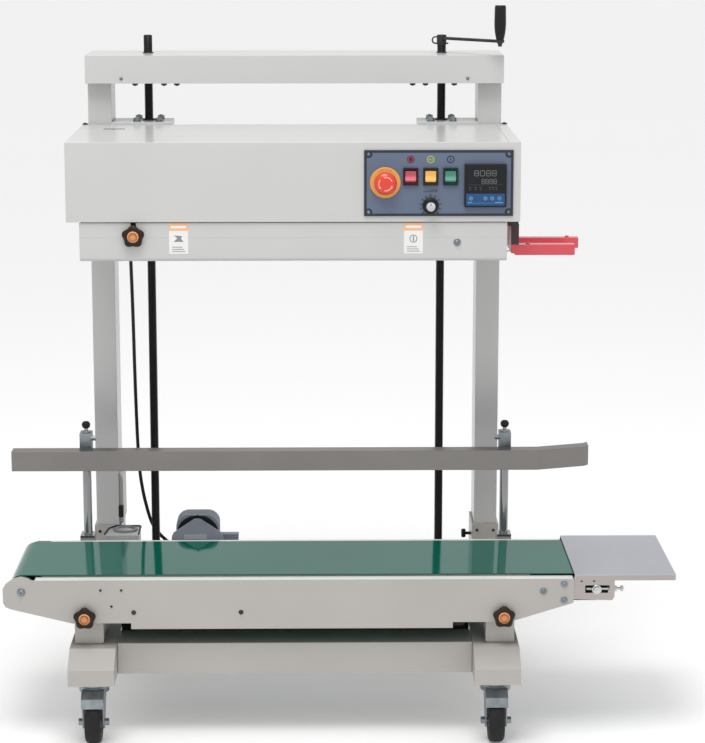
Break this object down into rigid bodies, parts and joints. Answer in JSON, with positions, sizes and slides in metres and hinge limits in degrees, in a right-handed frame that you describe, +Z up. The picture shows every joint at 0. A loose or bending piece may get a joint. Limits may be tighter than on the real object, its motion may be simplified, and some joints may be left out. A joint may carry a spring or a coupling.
{
  "type": "continuous band sealer",
  "caption": "Upright continuous band sealer: crank-lifted sealing head with control panel over a belt conveyor with bag guide rail, on a two-foot base with swivel casters.",
  "frame": {"origin": "on the floor, under the middle of the machine's overall box", "axes": "+Z up, -Y towards the operator and the control panel, +X towards the infeed end"},
  "size_m": [1.176, 0.64, 1.258],
  "materials": {
    "cream_paint": "satin powder coat",
    "panel_blue": "printed panel overlay",
    "dark_steel": "blackened steel",
    "bright_steel": "machined steel",
    "stainless": "brushed stainless sheet",
    "table_sheet": "satin stainless sheet",
    "zinc": "zinc plate",
    "belt_green": "smooth glossy belt cover",
    "black_plastic": "moulded",
    "button_red": "moulded",
    "lamp_red": "translucent lens",
    "lamp_amber": "translucent lens",
    "lamp_green": "translucent lens",
    "guide_red": "gloss paint",
    "motor_grey": "painted casting",
    "band_brown": "coated glass cloth band",
    "tyre_grey": "solid tyre and hub",
    "cable_black": "cable jacket"
  },
  "bodies": {
    "frame": {"foot_left": "cream_paint", "foot_right": "cream_paint", "front_crossbar": "cream_paint", "rear_crossbar": "cream_paint", "post_left": "cream_paint", "post_right": "cream_paint", "cross_beam": "cream_paint", "lift_chain": "dark_steel", "motor_cable": "cable_black"},
    "screw_left": {"lead_screw_left": "dark_steel"},
    "screw_right": {"lead_screw_right": "dark_steel", "crank_arm": "dark_steel"},
    "crank_grip": {"crank_grip": "black_plastic"},
    "head": {"head_casing": "cream_paint", "head_base": "bright_steel", "lift_carriage_left": "cream_paint", "lift_carriage_right": "cream_paint", "front_cover": "cream_paint", "control_panel": "panel_blue", "temp_controller": "black_plastic", "infeed_guide": "guide_red", "seal_band_front": "band_brown", "seal_band_rear": "band_brown", "heater_front": "bright_steel", "heater_rear": "bright_steel", "head_gearmotor": "motor_grey"},
    "e_stop": {"e_stop_button": "button_red"},
    "rocker_red": {"rocker_red": "lamp_red"},
    "rocker_amber": {"rocker_amber": "lamp_amber"},
    "rocker_green": {"rocker_green": "lamp_green"},
    "speed_knob": {"speed_knob": "black_plastic"},
    "cover_knob": {"cover_knob": "black_plastic"},
    "conveyor": {"conveyor_panel_front": "cream_paint", "conveyor_panel_rear": "cream_paint", "conveyor_bed": "cream_paint", "conveyor_belt": "belt_green", "tail_frame": "stainless", "extension_table": "table_sheet", "conveyor_motor": "motor_grey", "rail_rod_left": "bright_steel", "rail_rod_right": "bright_steel"},
    "drive_roller": {"drive_roller": "bright_steel"},
    "tail_roller": {"tail_roller": "bright_steel"},
    "leg_knob_left": {"leg_knob_left": "black_plastic"},
    "leg_knob_right": {"leg_knob_right": "black_plastic"},
    "rail": {"rail_clamp_left": "zinc", "rail_clamp_right": "zinc", "guide_rail": "stainless"},
    "band_pulley_front_out": {"band_pulley_front_out": "bright_steel"},
    "band_pulley_front_in": {"band_pulley_front_in": "bright_steel"},
    "band_pulley_rear_out": {"band_pulley_rear_out": "bright_steel"},
    "band_pulley_rear_in": {"band_pulley_rear_in": "bright_steel"},
    "caster_front_left": {"caster_fork_front_left": "zinc"},
    "wheel_front_left": {"caster_wheel_front_left": "tyre_grey"},
    "caster_front_right": {"caster_fork_front_right": "zinc"},
    "wheel_front_right": {"caster_wheel_front_right": "tyre_grey"},
    "caster_rear_left": {"caster_fork_rear_left": "zinc"},
    "wheel_rear_left": {"caster_wheel_rear_left": "tyre_grey"},
    "caster_rear_right": {"caster_fork_rear_right": "zinc"},
    "wheel_rear_right": {"caster_wheel_rear_right": "tyre_grey"}
  },
  "joints": [
    {"name": "head_lift", "type": "slide", "parent": "frame", "child": "head", "axis": [0, 0, 1], "range_m": [-0.25, 0.06], "deforming": ["motor_cable"]},
    {"name": "screw_left_turn", "type": "hinge", "parent": "frame", "child": "screw_left", "pos_m": [-0.3455, 0.195, 0], "axis": [0, 0, 1], "range_deg": [-5500, 22600]},
    {"name": "screw_right_turn", "type": "hinge", "parent": "frame", "child": "screw_right", "pos_m": [0.1975, 0.195, 0], "axis": [0, 0, 1], "range_deg": [-5500, 22600]},
    {"name": "crank_grip_spin", "type": "hinge", "parent": "screw_right", "child": "crank_grip", "pos_m": [0.298, 0.091, 1.2], "axis": [0, 0, 1], "continuous": true},
    {"name": "e_stop_press", "type": "slide", "parent": "head", "child": "e_stop", "axis": [0, 1, 0], "range_m": [0, 0.004], "stiffness_N_per_m": 500, "springref_m": -0.002},
    {"name": "rocker_red_tip", "type": "hinge", "parent": "head", "child": "rocker_red", "pos_m": [0.1271, -0.185, 0.9815], "axis": [1, 0, 0], "range_deg": [-14, 0]},
    {"name": "rocker_amber_tip", "type": "hinge", "parent": "head", "child": "rocker_amber", "pos_m": [0.1613, -0.185, 0.9815], "axis": [1, 0, 0], "range_deg": [-14, 0]},
    {"name": "rocker_green_tip", "type": "hinge", "parent": "head", "child": "rocker_green", "pos_m": [0.1954, -0.185, 0.9815], "axis": [1, 0, 0], "range_deg": [-14, 0]},
    {"name": "speed_knob_turn", "type": "hinge", "parent": "head", "child": "speed_knob", "pos_m": [0.1613, -0.1875, 0.9305], "axis": [0, -1, 0], "range_deg": [-135, 135]},
    {"name": "cover_knob_turn", "type": "hinge", "parent": "head", "child": "cover_knob", "pos_m": [-0.349, -0.182, 0.878], "axis": [0, -1, 0], "range_deg": [0, 360]},
    {"name": "band_pulley_front_out_spin", "type": "hinge", "parent": "head", "child": "band_pulley_front_out", "pos_m": [-0.389, -0.1238, 0.85], "axis": [0, 0, 1], "continuous": true},
    {"name": "band_pulley_front_in_spin", "type": "hinge", "parent": "head", "child": "band_pulley_front_in", "pos_m": [0.241, -0.1238, 0.85], "axis": [0, 0, 1], "continuous": true},
    {"name": "band_pulley_rear_out_spin", "type": "hinge", "parent": "head", "child": "band_pulley_rear_out", "pos_m": [-0.389, -0.0502, 0.85], "axis": [0, 0, 1], "continuous": true},
    {"name": "band_pulley_rear_in_spin", "type": "hinge", "parent": "head", "child": "band_pulley_rear_in", "pos_m": [0.241, -0.0502, 0.85], "axis": [0, 0, 1], "continuous": true},
    {"name": "conveyor_lift", "type": "slide", "parent": "frame", "child": "conveyor", "axis": [0, 0, 1], "range_m": [0, 0.012]},
    {"name": "drive_roller_spin", "type": "hinge", "parent": "conveyor", "child": "drive_roller", "pos_m": [-0.547, 0, 0.2694], "axis": [0, 1, 0], "continuous": true},
    {"name": "tail_roller_spin", "type": "hinge", "parent": "conveyor", "child": "tail_roller", "pos_m": [0.451, 0, 0.2694], "axis": [0, 1, 0], "continuous": true},
    {"name": "leg_knob_left_turn", "type": "hinge", "parent": "conveyor", "child": "leg_knob_left", "pos_m": [-0.4375, -0.271, 0.224], "axis": [0, -1, 0], "range_deg": [0, 360]},
    {"name": "leg_knob_right_turn", "type": "hinge", "parent": "conveyor", "child": "leg_knob_right", "pos_m": [0.2895, -0.271, 0.224], "axis": [0, -1, 0], "range_deg": [0, 360]},
    {"name": "rail_lift", "type": "slide", "parent": "conveyor", "child": "rail", "axis": [0, 0, 1], "range_m": [-0.12, 0]},
    {"name": "caster_front_left_swivel", "type": "hinge", "parent": "frame", "child": "caster_front_left", "pos_m": [-0.425, -0.26, 0.09], "axis": [0, 0, 1], "continuous": true},
    {"name": "wheel_front_left_roll", "type": "hinge", "parent": "caster_front_left", "child": "wheel_front_left", "pos_m": [-0.425, -0.282, 0.0375], "axis": [1, 0, 0], "continuous": true},
    {"name": "caster_front_right_swivel", "type": "hinge", "parent": "frame", "child": "caster_front_right", "pos_m": [0.277, -0.26, 0.09], "axis": [0, 0, 1], "continuous": true},
    {"name": "wheel_front_right_roll", "type": "hinge", "parent": "caster_front_right", "child": "wheel_front_right", "pos_m": [0.277, -0.282, 0.0375], "axis": [1, 0, 0], "continuous": true},
    {"name": "caster_rear_left_swivel", "type": "hinge", "parent": "frame", "child": "caster_rear_left", "pos_m": [-0.425, 0.26, 0.09], "axis": [0, 0, 1], "continuous": true},
    {"name": "wheel_rear_left_roll", "type": "hinge", "parent": "caster_rear_left", "child": "wheel_rear_left", "pos_m": [-0.425, 0.238, 0.0375], "axis": [1, 0, 0], "continuous": true},
    {"name": "caster_rear_right_swivel", "type": "hinge", "parent": "frame", "child": "caster_rear_right", "pos_m": [0.277, 0.26, 0.09], "axis": [0, 0, 1], "continuous": true},
    {"name": "wheel_rear_right_roll", "type": "hinge", "parent": "caster_rear_right", "child": "wheel_rear_right", "pos_m": [0.277, 0.238, 0.0375], "axis": [1, 0, 0], "continuous": true}
  ],
  "couplings": [
    {"joint": "screw_left_turn", "follows": "head_lift", "rad_per_m": -1570.8},
    {"joint": "screw_right_turn", "follows": "head_lift", "rad_per_m": -1570.8},
    {"joint": "band_pulley_front_in_spin", "follows": "band_pulley_front_out_spin", "ratio": 1},
    {"joint": "band_pulley_rear_out_spin", "follows": "band_pulley_front_out_spin", "ratio": -1},
    {"joint": "band_pulley_rear_in_spin", "follows": "band_pulley_front_out_spin", "ratio": -1},
    {"joint": "tail_roller_spin", "follows": "drive_roller_spin", "ratio": 1}
  ]
}
